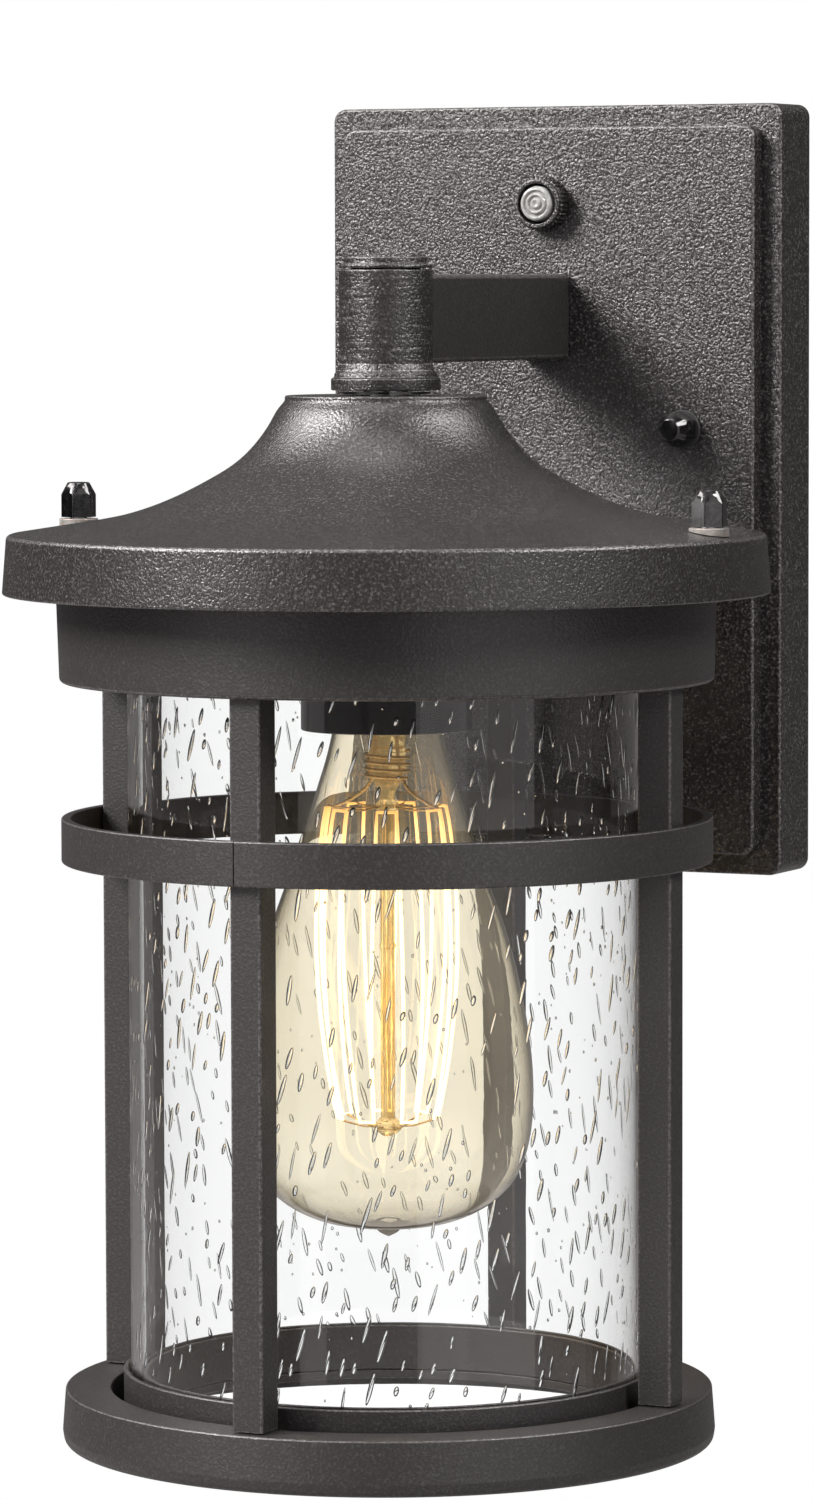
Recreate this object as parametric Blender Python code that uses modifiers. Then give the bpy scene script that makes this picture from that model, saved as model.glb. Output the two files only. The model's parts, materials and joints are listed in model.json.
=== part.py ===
"""Outdoor wall lantern: cast backplate with a photocell, arm, bell roof, glass cage and a filament bulb.

Lengths are in millimetres in the tables below and metres in the scene. The origin is the middle of
the mounting bar's back face, on the wall. The lantern reaches out along -Y, and +Z is up. Heights of
turned profiles are measured from the middle of the backplate, which sits below the bar by BAR_RISE.
"""
from math import cos, pi, radians, sin

import bmesh
import bpy
from mathutils import Matrix, Vector

MM = 0.001
GAP = 0.3                       # working gap between neighbouring pieces

# Backplate and wall parts
BAR_RISE = 14.2                 # mounting bar above the middle of the backplate
PLATE_W, PLATE_H = 114.3, 177.8
PLATE_FRONT = -17.2             # Y of the rim's face
PANEL_W, PANEL_H = 104.6, 168.0
PANEL_FRONT = -22.0             # Y of the raised panel's face
PLATE_WALL = 2.2
PLATE_CORNER = 3.0
STUD_SPACING = 69.85            # 2 3/4 in
SLOT_SPACING = 88.9             # 3 1/2 in
STUD_R = 1.95
STUD_HOLE_R = 2.25
NUT_AF = 7.0                    # M4 cap nut across its flats
NUT_H = 7.9
PHOTOCELL_Z = 66.2

# Arm and hub
ARM_W, ARM_H = 12.0, 19.6
ARM_Z = 40.1
ARM_SCREW_STEP = 6.6
CABLE_R = 1.5
REACH = 107.6                   # wall to the lantern's axis
HUB_R = 10.35

# Cage
BAR_W = 7.25                    # cage bar, along the ring
BAR_IN, BAR_OUT = 62.0, 69.8    # cage bar, from the axis
BAR_TOP, BAR_FOOT = -11.6, -196.7
ROOF_NUT_R = 77.3               # cap nuts on the brim, from the axis
FINE, MEDIUM, COARSE = 60, 28, 18

BULB_BOTTOM = -163.9

for old in list(bpy.data.objects):
    bpy.data.objects.remove(old, do_unlink=True)


def new_collection(name):
    made = bpy.data.collections.new(name)
    bpy.context.scene.collection.children.link(made)
    return made


PARTS = new_collection("outdoor_wall_lantern")
CUTTERS = new_collection("cutters")


def material(name, colour, roughness, metallic=0.0, transmission=0.0):
    made = bpy.data.materials.new(name)
    made.use_nodes = True
    shader = made.node_tree.nodes["Principled BSDF"]
    shader.inputs["Base Color"].default_value = (*colour, 1.0)
    shader.inputs["Roughness"].default_value = roughness
    shader.inputs["Metallic"].default_value = metallic
    shader.inputs["Transmission Weight"].default_value = transmission
    made.diffuse_color = (*colour, 1.0)
    return made


POWDER = material("powder_coat", (0.045, 0.042, 0.043), 0.55)
BLACK_METAL = material("black_gloss_metal", (0.02, 0.02, 0.02), 0.25, 0.6)
STEEL = material("zinc_steel", (0.55, 0.55, 0.55), 0.35, 1.0)
GREEN = material("green_ground_screw", (0.05, 0.3, 0.08), 0.4, 0.6)
NYLON = material("ivory_washer", (0.8, 0.77, 0.68), 0.45)
BLACK_PLASTIC = material("black_plastic", (0.015, 0.015, 0.015), 0.4)
CLEAR_PLASTIC = material("clear_plastic", (0.9, 0.9, 0.88), 0.1, 0.0, 1.0)
PORCELAIN = material("porcelain", (0.85, 0.84, 0.8), 0.3)
BRASS = material("brass", (0.75, 0.55, 0.25), 0.3, 1.0)
ALUMINIUM = material("lamp_base_metal", (0.75, 0.68, 0.5), 0.3, 1.0)
BLACK_GLASS = material("black_glass", (0.01, 0.01, 0.01), 0.15)
AMBER_GLASS = material("amber_glass", (0.95, 0.75, 0.4), 0.05, 0.0, 1.0)
STEM_GLASS = material("stem_glass", (0.95, 0.8, 0.5), 0.05, 0.0, 0.9)
FILAMENT = material("filament", (1.0, 0.7, 0.3), 0.5)
SEEDED_GLASS = material("seeded_glass", (0.96, 0.97, 0.97), 0.03, 0.0, 1.0)
RUBBER = material("black_rubber", (0.03, 0.03, 0.03), 0.7)
CABLE = material("black_cable", (0.02, 0.02, 0.02), 0.5)


def add(name, mesh, mat=None, location=(0, 0, 0), rotation=(0, 0, 0)):
    """A new object at a place in millimetres, among the parts or, with no material, the cutters."""
    obj = bpy.data.objects.new(name, mesh)
    obj.location = [value * MM for value in location]
    obj.rotation_euler = rotation
    if mat is None:
        CUTTERS.objects.link(obj)
        obj.hide_render = True
        obj.display_type = 'WIRE'
    else:
        mesh.materials.append(mat)
        PARTS.objects.link(obj)
        mesh.shade_smooth()
        mesh.set_sharp_from_angle(angle=radians(32))
    return obj


def finish_mesh(bm, name):
    bmesh.ops.recalc_face_normals(bm, faces=bm.faces)
    mesh = bpy.data.meshes.new(name)
    bm.to_mesh(mesh)
    bm.free()
    return mesh


def box_mesh(name, size, corner=0.0, along='Y', edge=0.0):
    """A box about its middle, with rounded corners along one axis, then a soft edge all round."""
    bm = bmesh.new()
    bmesh.ops.create_cube(bm, size=1.0)
    bmesh.ops.scale(bm, vec=[value * MM for value in size], verts=bm.verts)
    axis = 'XYZ'.index(along)
    if corner:
        runs = [e for e in bm.edges if abs((e.verts[0].co - e.verts[1].co)[axis]) > 1e-6]
        bmesh.ops.bevel(bm, geom=runs, offset=corner * MM, segments=3, profile=0.5,
                        affect='EDGES')
    if edge:
        bmesh.ops.bevel(bm, geom=[e for e in bm.edges if e.calc_face_angle(0) > 0.6],
                        offset=edge * MM, segments=2, profile=0.5, affect='EDGES')
    return finish_mesh(bm, name)


def rod_mesh(name, radius, low, high, axis='Z', segments=20, radius_high=None, bore=0.0):
    """A cylinder or hexagon from low to high along an axis, with an optional bore."""
    bm = bmesh.new()
    top = radius if radius_high is None else radius_high
    bmesh.ops.create_cone(bm, cap_ends=True, segments=segments, radius1=radius * MM,
                          radius2=top * MM, depth=(high - low) * MM)
    bmesh.ops.translate(bm, vec=(0, 0, (low + high) / 2 * MM), verts=bm.verts)
    if axis == 'Y':
        bmesh.ops.rotate(bm, cent=(0, 0, 0), matrix=Matrix.Rotation(-pi / 2, 3, 'X'),
                         verts=bm.verts)
    elif axis == 'X':
        bmesh.ops.rotate(bm, cent=(0, 0, 0), matrix=Matrix.Rotation(pi / 2, 3, 'Y'),
                         verts=bm.verts)
    return finish_mesh(bm, name)


def turned(name, profile, mat, location, segments=MEDIUM, closed=True, rotation=(0, 0, 0)):
    """A turned shape: (radius, height) points, down the outside first, under a Screw modifier."""
    bm = bmesh.new()
    points = [bm.verts.new((r * MM, 0, z * MM)) for r, z in profile]
    for first, second in zip(points, points[1:]):
        bm.edges.new((first, second))
    if closed:
        bm.edges.new((points[-1], points[0]))
    mesh = bpy.data.meshes.new(name)
    bm.to_mesh(mesh)
    bm.free()
    obj = add(name, mesh, mat, location, rotation)
    screw = obj.modifiers.new("Turn", 'SCREW')
    screw.axis = 'Z'
    screw.angle = 2 * pi
    screw.steps = screw.render_steps = segments
    screw.use_merge_vertices = True
    screw.merge_threshold = 0.00001
    screw.use_smooth_shade = True
    return obj


def cut(obj, cutter):
    boolean = obj.modifiers.new("Cut " + cutter.name, 'BOOLEAN')
    boolean.operation = 'DIFFERENCE'
    boolean.solver = 'EXACT'
    boolean.object = cutter


def join(obj, other):
    boolean = obj.modifiers.new("Join " + other.name, 'BOOLEAN')
    boolean.operation = 'UNION'
    boolean.solver = 'EXACT'
    boolean.object = other


def hole(obj, name, radius, low, high, location, axis='Z', segments=20):
    cutter = add("cut_" + name, rod_mesh("cut_" + name, radius, low, high, axis, segments),
                 None, location)
    cut(obj, cutter)
    return cutter


AXIS = (0.0, -REACH, -BAR_RISE)         # the lantern's axis at the backplate's mid height
PLATE = (0.0, 0.0, -BAR_RISE)


# Backplate: a rim box and a raised panel, hollow from behind
def plate_box(name, width, height, back, front, mat, corner, edge):
    middle = (back + front) / 2
    mesh = box_mesh(name, (width, back - front, height), corner, 'Y', edge)
    return add(name, mesh, mat, (0, middle, -BAR_RISE))


rim = plate_box("backplate", PLATE_W, PLATE_H, 0.0, PLATE_FRONT, POWDER, PLATE_CORNER, 0.0)
soften = rim.modifiers.new("Soft edges", 'BEVEL')
soften.width = 0.7 * MM
soften.segments = 2
soften.limit_method = 'ANGLE'
soften.angle_limit = radians(50)
panel = plate_box("panel_form", PANEL_W, PANEL_H, -10.0, PANEL_FRONT, None, PLATE_CORNER, 0.0)
soften = panel.modifiers.new("Soft edges", 'BEVEL')
soften.width = 0.8 * MM
soften.segments = 2
soften.limit_method = 'ANGLE'
soften.angle_limit = radians(50)
join(rim, panel)
for label, width, height, front in (
        ("rim_hollow", PLATE_W, PLATE_H, PLATE_FRONT),
        ("panel_hollow", PANEL_W, PANEL_H, PANEL_FRONT)):
    cut(rim, plate_box("cut_" + label, width - 2 * PLATE_WALL, height - 2 * PLATE_WALL,
                       5.0, front + PLATE_WALL, None, 2.0, 0.0))
for side, x in (("left", -STUD_SPACING / 2), ("right", STUD_SPACING / 2)):
    hole(rim, "plate_stud_" + side, STUD_HOLE_R, -26, -14, (x, 0, 0), 'Y')
hole(rim, "plate_photocell", 4.5, -26, -14, (0, 0, PHOTOCELL_Z - BAR_RISE), 'Y', 24)
hole(rim, "plate_cable", 2.8, -26, -14, (0, 0, ARM_Z - BAR_RISE), 'Y')
for label, step in (("upper", ARM_SCREW_STEP), ("lower", -ARM_SCREW_STEP)):
    hole(rim, "plate_arm_screw_" + label, 1.75, -26, -14, (0, 0, ARM_Z + step - BAR_RISE), 'Y')

# Mounting bar on the wall, with slots for the box screws
bar = add("wall_crossbar", box_mesh("wall_crossbar", (102, 1.5, 18), 4.0, 'Y'), STEEL,
          (0, -0.75, 0))
for side, sign in (("left", -1), ("right", 1)):
    hole(bar, "bar_stud_" + side, STUD_HOLE_R, -4, 4, (sign * STUD_SPACING / 2, 0, 0), 'Y')
    slot = add("cut_bar_slot_" + side, box_mesh("cut_slot", (9.0, 8, 4.6), 2.25, 'Y'), None,
               (sign * SLOT_SPACING / 2, 0, 0))
    cut(bar, slot)
hole(bar, "bar_ground", 2.1, -4, 4, (18, 0, 0), 'Y')


def hex_nut(name, mat, location, flats, low, high, bore, axis):
    nut = add(name, rod_mesh(name, flats / 2 / cos(pi / 6), low, high, axis, 6), mat, location)
    hole(nut, name, bore, low - 2, high + 2, location, axis, 16)
    return nut


def cap_nut(name, location, rotation):
    """A hexagonal cap nut that stands on z = 0: chamfered to a small flat top, blind from below."""
    corner = NUT_AF / 2 / cos(pi / 6)
    nut = add(name, rod_mesh(name, corner, 0, NUT_H, 'Z', 6), BLACK_METAL, location, rotation)
    profile = [(0, NUT_H + 3), (9, NUT_H + 3), (9, NUT_H - 5.5), (corner + 0.05, NUT_H - 2.35),
               (2.35, NUT_H - 0.05), (0, NUT_H - 0.05)]
    chamfer = turned("cut_chamfer_" + name, profile, None, location, 24, False, rotation)
    cut(nut, chamfer)
    bore = turned("cut_bore_" + name, [(0, 5.6), (2.25, 5.0), (2.25, -3), (0, -3)], None,
                  location, 16, False, rotation)
    cut(nut, bore)
    return nut


OUT = (pi / 2, 0, 0)            # turns +Z to -Y, out of the wall
for side, sign in (("left", -1), ("right", 1)):
    x = sign * STUD_SPACING / 2
    add("mounting_stud_" + side, rod_mesh("stud", STUD_R, -27.6, -GAP, 'Y', 14), STEEL,
        (x, 0, 0))
    hex_nut("stud_lock_nut_" + side, STEEL, (x, 0, 0), 7.0, -4.9, -1.5 - GAP, STUD_HOLE_R, 'Y')
    washer = turned("mounting_washer_" + side,
                    [(4.4, 0.8), (4.4, 0.0), (2.3, 0.0), (2.3, 0.8)], RUBBER,
                    (x, PANEL_FRONT - GAP, 0), COARSE, True, OUT)
    cap_nut("mounting_cap_nut_" + side, (x, PANEL_FRONT - GAP - 0.8 - 0.2, 0), OUT)
turned("ground_screw", [(0, 2.6), (2.6, 2.5), (4.0, 1.4), (4.0, 0.2), (1.8, 0.2), (1.8, -1.5),
                        (0, -1.5)], GREEN, (18, -1.5, 0), 16, False, OUT)

# Photocell: body behind the panel, ringed lens, knurled bezel ring in front
CELL = (0, 0, PHOTOCELL_Z - BAR_RISE)
turned("photocell_body", [(0, 22.8), (4.2, 22.8), (4.2, 19.5), (6.6, 19.5), (6.6, 16.8),
                          (5.2, 16.8), (5.2, 7.0), (0, 7.0)], BLACK_PLASTIC, CELL, 24, False, OUT)
turned("photocell_lens", [(0, 28.2), (1.3, 28.15), (1.6, 27.75), (1.9, 28.05), (2.7, 27.85),
                          (2.95, 27.4), (3.2, 27.7), (3.85, 27.2), (4.1, 26.6), (4.1, 23.1),
                          (0, 23.1)], CLEAR_PLASTIC, CELL, 24, False, OUT)


def knurled_ring(name, mat, location, teeth):
    """A bezel ring along -Y whose outer wall is notched between teeth."""
    profile = [(5.5, 27.3), (5.75, 26.9), (5.75, 26.1), (6.2, 25.9), (6.2, 22.3), (4.55, 22.3),
               (4.55, 27.3)]
    bm = bmesh.new()
    loops = []
    for step in range(2 * teeth):
        angle = pi * step / teeth
        ring = []
        for r, y in profile:
            r = r - 0.35 if step % 2 and r > 6.1 else r
            ring.append(bm.verts.new((r * MM * cos(angle), -y * MM, r * MM * sin(angle))))
        loops.append(ring)
    count = len(profile)
    for step in range(2 * teeth):
        here, there = loops[step], loops[(step + 1) % (2 * teeth)]
        for k in range(count):
            bm.faces.new((here[k], here[(k + 1) % count], there[(k + 1) % count], there[k]))
    return add(name, finish_mesh(bm, name), mat, location)


knurled_ring("photocell_knurled_ring", BLACK_METAL, CELL, 36)

# Arm, from the panel to the hub, with a cable bore
arm_back, arm_front = PANEL_FRONT - GAP, -REACH + 4.0
arm = add("arm", box_mesh("arm", (ARM_W, arm_back - arm_front, ARM_H), 1.0, 'Y', 0.0), POWDER,
          (0, (arm_back + arm_front) / 2, ARM_Z - BAR_RISE))
hole(arm, "arm_end", HUB_R + GAP, ARM_Z - 14, ARM_Z + 14, AXIS, 'Z', 40)
hole(arm, "arm_cable", 2.8, arm_front - 8, arm_back + 8, (0, 0, ARM_Z - BAR_RISE), 'Y')
for label, step in (("upper", ARM_SCREW_STEP), ("lower", -ARM_SCREW_STEP)):
    place = (0, 0, ARM_Z + step - BAR_RISE)
    hole(arm, "arm_thread_back_" + label, 1.75, arm_back - 10, arm_back + 5, place, 'Y', 14)
    hole(arm, "arm_thread_front_" + label, 1.75, arm_front - 2, arm_front + 16, place, 'Y', 14)
    turned("arm_screw_" + label, [(0, 2.2), (1.6, 2.1), (2.6, 1.2), (2.6, 0), (1.5, 0),
                                  (1.5, -11), (0, -11)], STEEL,
           (0, PANEL_FRONT + PLATE_WALL + GAP, ARM_Z + step - BAR_RISE), 14, False,
           (-pi / 2, 0, 0))

# Hub with a flared foot, its screws into the arm, and its stepped cap
hub = turned("hub", [(HUB_R, 51.0), (HUB_R, 30.0), (10.6, 29.1), (11.3, 28.1), (11.5, 27.4),
                     (12.15, 26.9), (12.15, 24.4), (5.4, 24.4), (5.4, 27.4), (8.0, 27.4),
                     (8.0, 51.0)],
             POWDER, AXIS, MEDIUM)
hole(hub, "hub_cable", 2.8, 4, 14, (0, -REACH, ARM_Z - BAR_RISE), 'Y')
for label, step in (("upper", ARM_SCREW_STEP), ("lower", -ARM_SCREW_STEP)):
    hole(hub, "hub_screw_" + label, 1.75, 4, 14, (0, -REACH, ARM_Z + step - BAR_RISE), 'Y', 14)
    turned("hub_screw_" + label, [(0, 1.9), (1.6, 1.8), (2.5, 1.0), (2.5, 0), (1.5, 0),
                                  (1.5, -9), (0, -9)], STEEL,
           (0, -REACH + 7.2, ARM_Z + step - BAR_RISE), 14, False, (pi / 2, 0, 0))
turned("hub_cap", [(0, 53.8), (8.95, 53.8), (9.26, 53.5), (9.26, 52.3), (10.1, 52.15),
                   (10.35, 51.9), (10.35, 51.3), (7.7, 51.3), (7.7, 49.6), (0, 49.6)],
       POWDER, AXIS, MEDIUM, False)
turned("neck_spacer", [(9.95, 24.1), (9.95, 23.6), (5.4, 23.6), (5.4, 24.1)], BLACK_METAL,
       AXIS, 24)

# Threaded nipple and its nuts
NIPPLE_R, NIPPLE_HOLE = 5.0, 5.4
turned("nipple", [(NIPPLE_R, 31.0), (NIPPLE_R, -11.4), (3.2, -11.4), (3.2, 31.0)], STEEL,
       AXIS, 20)
hex_nut("nipple_nut_upper", STEEL, AXIS, 13.0, 27.7, 30.7, NIPPLE_HOLE, 'Z')
hex_nut("nipple_nut_lower", STEEL, AXIS, 17.0, 17.8, 21.2, NIPPLE_HOLE, 'Z')

# Roof: flat top disc, concave bell, wide brim with a turned-down edge
roof = turned("roof", [
    (22.1, 23.3), (22.36, 23.05), (22.36, 22.3), (22.75, 21.7), (24.2, 19.9), (26.2, 16.4),
    (28.6, 13.1), (31.4, 10.1), (34.4, 7.7), (37.8, 5.6), (42.4, 3.1), (47.4, 0.7),
    (52.6, -1.35), (58.4, -3.1), (64.4, -4.3), (82.6, -7.1), (83.6, -7.45),
    (84.1, -8.4), (85.0, -19.9), (84.7, -20.3), (83.1, -20.3), (82.2, -9.1), (60.0, -5.3),
    (48.0, -1.6), (37.0, 3.8), (29.0, 9.9), (22.6, 18.6), (20.8, 21.5), (NIPPLE_HOLE, 21.5),
    (NIPPLE_HOLE, 23.3)], POWDER, AXIS, FINE)

# Roof studs, wedge washers that follow the brim, cap nuts
for side, sign in (("left", -1), ("right", 1)):
    place = (sign * ROOF_NUT_R, -REACH, -BAR_RISE)
    hole(roof, "roof_stud_" + side, 2.3, -16, 4, place)
    add("roof_stud_" + side, rod_mesh("roof_stud", STUD_R, -11.3, 0.0, 'Z', 14), STEEL, place)
    washer = turned("roof_washer_" + side, [(4.4, -4.9), (4.4, -8.5), (2.35, -8.5),
                                            (2.35, -4.9)], NYLON, place, COARSE)
    slope = radians(8.3)
    seat = add("cut_washer_seat_" + side, box_mesh("cut_seat", (16, 16, 8)), None,
               (place[0] - sign * 4.3 * sin(slope), place[1], -BAR_RISE - 6.1 - 4.0 * cos(slope)),
               (0, sign * slope, 0))
    cut(washer, seat)
    cap_nut("roof_cap_nut_" + side, (place[0], place[1], -BAR_RISE - 4.6), (0, 0, radians(9)))

# Socket cup, porcelain lampholder and its contacts
turned("socket_cup", [(17.0, -6.3), (18.6, -7.0), (19.1, -8.6), (19.1, -50.3), (18.9, -50.6),
                      (17.8, -50.6), (17.8, -9.2), (17.0, -7.9), (NIPPLE_HOLE, -7.9),
                      (NIPPLE_HOLE, -6.3)], BLACK_METAL, AXIS, MEDIUM)
hex_nut("socket_cup_nut", STEEL, AXIS, 15.0, -11.1, -8.2, NIPPLE_HOLE, 'Z')
turned("socket_body", [(16.6, -11.8), (17.3, -12.6), (17.3, -49.0), (14.4, -49.0), (14.4, -21.0),
                       (2.6, -21.0), (2.6, -11.8)], PORCELAIN, AXIS, 24)
turned("socket_screw_shell", [(14.0, -21.3), (14.0, -45.0), (13.5, -45.0), (13.5, -21.8),
                              (6.5, -21.8), (6.5, -21.3)], BRASS, AXIS, 24)
turned("socket_centre_contact", [(4.6, -21.3), (4.6, -21.9), (2.0, -22.2), (2.0, -21.6)],
       BRASS, AXIS, 16)

# Filament bulb: base, envelope, stem, leads and a squirrel-cage filament
turned("bulb_contact", [(0, -22.5), (2.6, -22.7), (4.2, -23.4), (4.2, -24.0), (0, -24.0)],
       ALUMINIUM, AXIS, 16, False)
turned("bulb_insulator", [(0, -24.3), (4.9, -24.3), (9.6, -27.2), (9.6, -28.0), (0, -28.0)],
       BLACK_GLASS, AXIS, 20, False)
turned("bulb_screw_shell", [(9.4, -28.3), (12.3, -29.6), (12.9, -31.0), (12.9, -49.2),
                            (12.5, -49.2), (12.5, -31.2), (12.0, -30.1), (9.4, -28.8)],
       ALUMINIUM, AXIS, 24)
envelope = turned("bulb_glass", [
    (12.0, -45.0), (12.0, -50.0), (13.4, -56.5), (15.7, -64.0), (18.6, -73.0), (22.3, -84.0),
    (26.0, -94.5), (28.9, -105.0), (31.0, -116.0), (32.2, -126.0), (32.3, -134.5),
    (31.6, -141.5), (29.8, -147.8), (26.6, -152.8), (21.8, -156.8), (15.4, -159.7),
    (8.5, -161.1), (3.0, -161.8), (1.6, -163.2), (0, BULB_BOTTOM)], AMBER_GLASS, AXIS, 24, False)
wall = envelope.modifiers.new("Wall", 'SOLIDIFY')
wall.thickness = 0.7 * MM
wall.offset = -1.0
turned("bulb_stem", [(0, -46.0), (9.6, -46.0), (9.0, -52.0), (8.0, -58.0), (5.2, -64.5),
                     (2.4, -70.0), (1.7, -76.0), (1.6, -137.5), (2.5, -138.6), (2.5, -140.2),
                     (1.2, -141.2), (0, -141.4)], STEM_GLASS, AXIS, 14, False)


def wire(name, points, radius, mat, location, cyclic=False, sides=1):
    """A bent wire or cable: a poly curve with a round bevel, made a mesh and welded."""
    curve = bpy.data.curves.new(name, 'CURVE')
    curve.dimensions = '3D'
    curve.bevel_depth = radius * MM
    curve.bevel_resolution = sides
    curve.use_fill_caps = True
    spline = curve.splines.new('POLY')
    spline.points.add(len(points) - 1)
    for point, place in zip(spline.points, points):
        point.co = (*[value * MM for value in place], 1.0)
    spline.use_cyclic_u = cyclic
    guide = bpy.data.objects.new(name + "_guide", curve)
    bpy.context.scene.collection.objects.link(guide)
    graph = bpy.context.evaluated_depsgraph_get()
    mesh = bpy.data.meshes.new_from_object(guide.evaluated_get(graph))
    mesh.name = name
    bpy.data.objects.remove(guide, do_unlink=True)
    bm = bmesh.new()
    bm.from_mesh(mesh)
    bmesh.ops.remove_doubles(bm, verts=bm.verts, dist=0.000005)
    bmesh.ops.recalc_face_normals(bm, faces=bm.faces)
    bm.to_mesh(mesh)
    bm.free()
    mesh.materials.clear()
    return add(name, mesh, mat, location)


# The filament climbs and falls between two rings of hooks round the stem
STRANDS = 14
FILAMENT_TOP, FILAMENT_FOOT = -86.0, -137.0
zigzag = []
for k in range(STRANDS):
    angle = radians(24) + 2 * pi * (k + 0.5) / (STRANDS + 0.6)
    rising = k % 2 == 0
    low, high = (11.2, FILAMENT_FOOT), (14.6, FILAMENT_TOP)
    ends = (low, high) if rising else (high, low)
    if k == 0 or k == STRANDS - 1:
        ends = ends[::1]
    for r, z in ends:
        turn = angle + (0.06 if rising else -0.06) * (1 if z == FILAMENT_TOP else -1)
        zigzag.append((r * cos(turn), r * sin(turn), z))
wire("bulb_filament", zigzag, 0.28, FILAMENT, AXIS)
for side, sign in (("left", -1), ("right", 1)):
    wire("bulb_lead_" + side, [(sign * 6.0, 0, -64.5), (sign * 7.2, 0, -70.0),
                               (sign * 9.6, 0, -79.0), (sign * 12.6, 0, -84.6)],
         0.35, BRASS, AXIS)

# Cage: top ring with its flange and skirt
skirt = turned("cage_top_ring", [
    (81.8, -9.5), (81.8, -11.3), (73.4, -11.3), (72.5, -38.4), (72.1, -39.4), (71.5, -39.7),
    (70.4, -39.7), (71.2, -11.3), (60.0, -11.3), (60.0, -9.5)], POWDER, AXIS, FINE)
for side, sign in (("left", -1), ("right", 1)):
    hole(skirt, "flange_stud_" + side, STUD_HOLE_R, -16, -6,
         (sign * ROOF_NUT_R, -REACH, -BAR_RISE))

# Four cage bars, front, right, back and left
turned("base_ring", [
    (71.7, -197.0), (72.1, -197.4), (72.75, -206.3), (72.5, -207.8), (71.7, -208.8),
    (70.3, -209.2), (68.9, -209.2), (68.9, -199.2), (63.7, -199.2),
    (63.7, -205.2), (54.2, -205.2), (54.2, -203.2), (61.9, -203.2), (61.9, -197.0)],
    POWDER, AXIS, FINE)
base = bpy.data.objects["base_ring"]
for side, angle in (("front", -pi / 2), ("right", 0), ("back", pi / 2), ("left", pi)):
    middle = (BAR_IN + BAR_OUT) / 2
    mesh = box_mesh("cage_bar", (BAR_OUT - BAR_IN, BAR_W, BAR_TOP - BAR_FOOT), 0.7, 'Z')
    place = (middle * cos(angle), -REACH + middle * sin(angle),
             -BAR_RISE + (BAR_TOP + BAR_FOOT) / 2)
    upright = add("cage_bar_" + side, mesh, POWDER, place, (0, 0, angle))
    screw_place = (66.2 * cos(angle), -REACH + 66.2 * sin(angle), -BAR_RISE)
    hole(upright, "bar_thread_" + side, 1.75, -199, -187, screw_place, 'Z', 14)
    hole(base, "base_screw_" + side, 1.75, -202, -194, screw_place, 'Z', 14)
    turned("bar_screw_" + side, [(0, -188), (1.5, -188), (1.5, -199.5), (2.1, -199.5),
                                 (2.1, -201.4), (0, -201.4)], STEEL, screw_place, 14, False)

# Middle hoop, rolled from strip with its butt joint on the front bar
hoop = turned("mid_band", [(72.05, -69.8), (72.24, -70.0), (72.24, -79.35), (72.05, -79.55),
                           (70.1, -79.55), (70.1, -69.8)], POWDER, AXIS, FINE)
seam = add("cut_hoop_seam", box_mesh("cut_seam", (0.25, 8, 14)), None,
           (-1.4, -REACH - 71.2, -BAR_RISE - 74.7))
cut(hoop, seam)

# Glass seat, gasket and cylinder
turned("glass_seat_ring", [
    (59.1, -192.7), (59.1, -202.9), (53.8, -202.9), (53.8, -192.7), (54.7, -192.7),
    (54.7, -199.5), (58.1, -199.5), (58.1, -192.7)], POWDER, AXIS, 56)
turned("glass_gasket", [(57.8, -198.7), (57.8, -199.2), (55.0, -199.2), (55.0, -198.7)],
       RUBBER, AXIS, 32)
turned("glass_cylinder", [(57.65, -12.3), (57.65, -198.4), (55.15, -198.4), (55.15, -12.3),
                          (55.6, -11.8), (57.2, -11.8)], SEEDED_GLASS, AXIS, 56)

# Lamp cable, through the arm and down the nipple to the lampholder
bend = [(0, -REACH + 5.5 * (1 - sin(t * pi / 12)), ARM_Z - 5.5 * (1 - cos(t * pi / 12)))
        for t in range(7)]
path = [(0, -9.0, ARM_Z), (0, -60.0, ARM_Z)] + bend + [(0, -REACH, 28.0), (0, -REACH, -17.0)]
wire("lamp_cable", path, CABLE_R, CABLE, PLATE, sides=2)
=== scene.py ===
"""Looks of the outdoor wall lantern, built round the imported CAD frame.

Lengths in the tables are millimetres. Turned profiles are (radius, height[, rounding]) about the
lantern's axis, with heights measured from the middle of the backplate, down the outside first.
"""
import json
import random
from math import atan2, cos, pi, radians, sin, tan

import bmesh
import bpy
from mathutils import Matrix, Vector


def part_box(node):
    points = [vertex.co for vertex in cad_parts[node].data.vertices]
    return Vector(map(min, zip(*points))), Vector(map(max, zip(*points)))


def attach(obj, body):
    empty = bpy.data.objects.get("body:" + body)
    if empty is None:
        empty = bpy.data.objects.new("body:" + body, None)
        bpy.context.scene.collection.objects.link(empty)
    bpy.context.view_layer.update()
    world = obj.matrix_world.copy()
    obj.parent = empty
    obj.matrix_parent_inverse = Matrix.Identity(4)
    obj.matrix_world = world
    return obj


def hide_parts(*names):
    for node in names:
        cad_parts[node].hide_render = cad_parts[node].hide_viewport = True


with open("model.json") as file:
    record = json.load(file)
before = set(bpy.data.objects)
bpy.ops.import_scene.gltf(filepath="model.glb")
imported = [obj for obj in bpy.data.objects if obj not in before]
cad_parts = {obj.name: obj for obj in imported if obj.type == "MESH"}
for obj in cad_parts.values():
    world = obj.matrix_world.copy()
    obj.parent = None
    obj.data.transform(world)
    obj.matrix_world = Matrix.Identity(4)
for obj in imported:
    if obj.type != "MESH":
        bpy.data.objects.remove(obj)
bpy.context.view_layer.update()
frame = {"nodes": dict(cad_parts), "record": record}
scene = bpy.context.scene
MM = 0.001


# ------------------------------------------------------------------ places that the CAD gives
def middle(node):
    low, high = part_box(node)
    return (low + high) / 2


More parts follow.
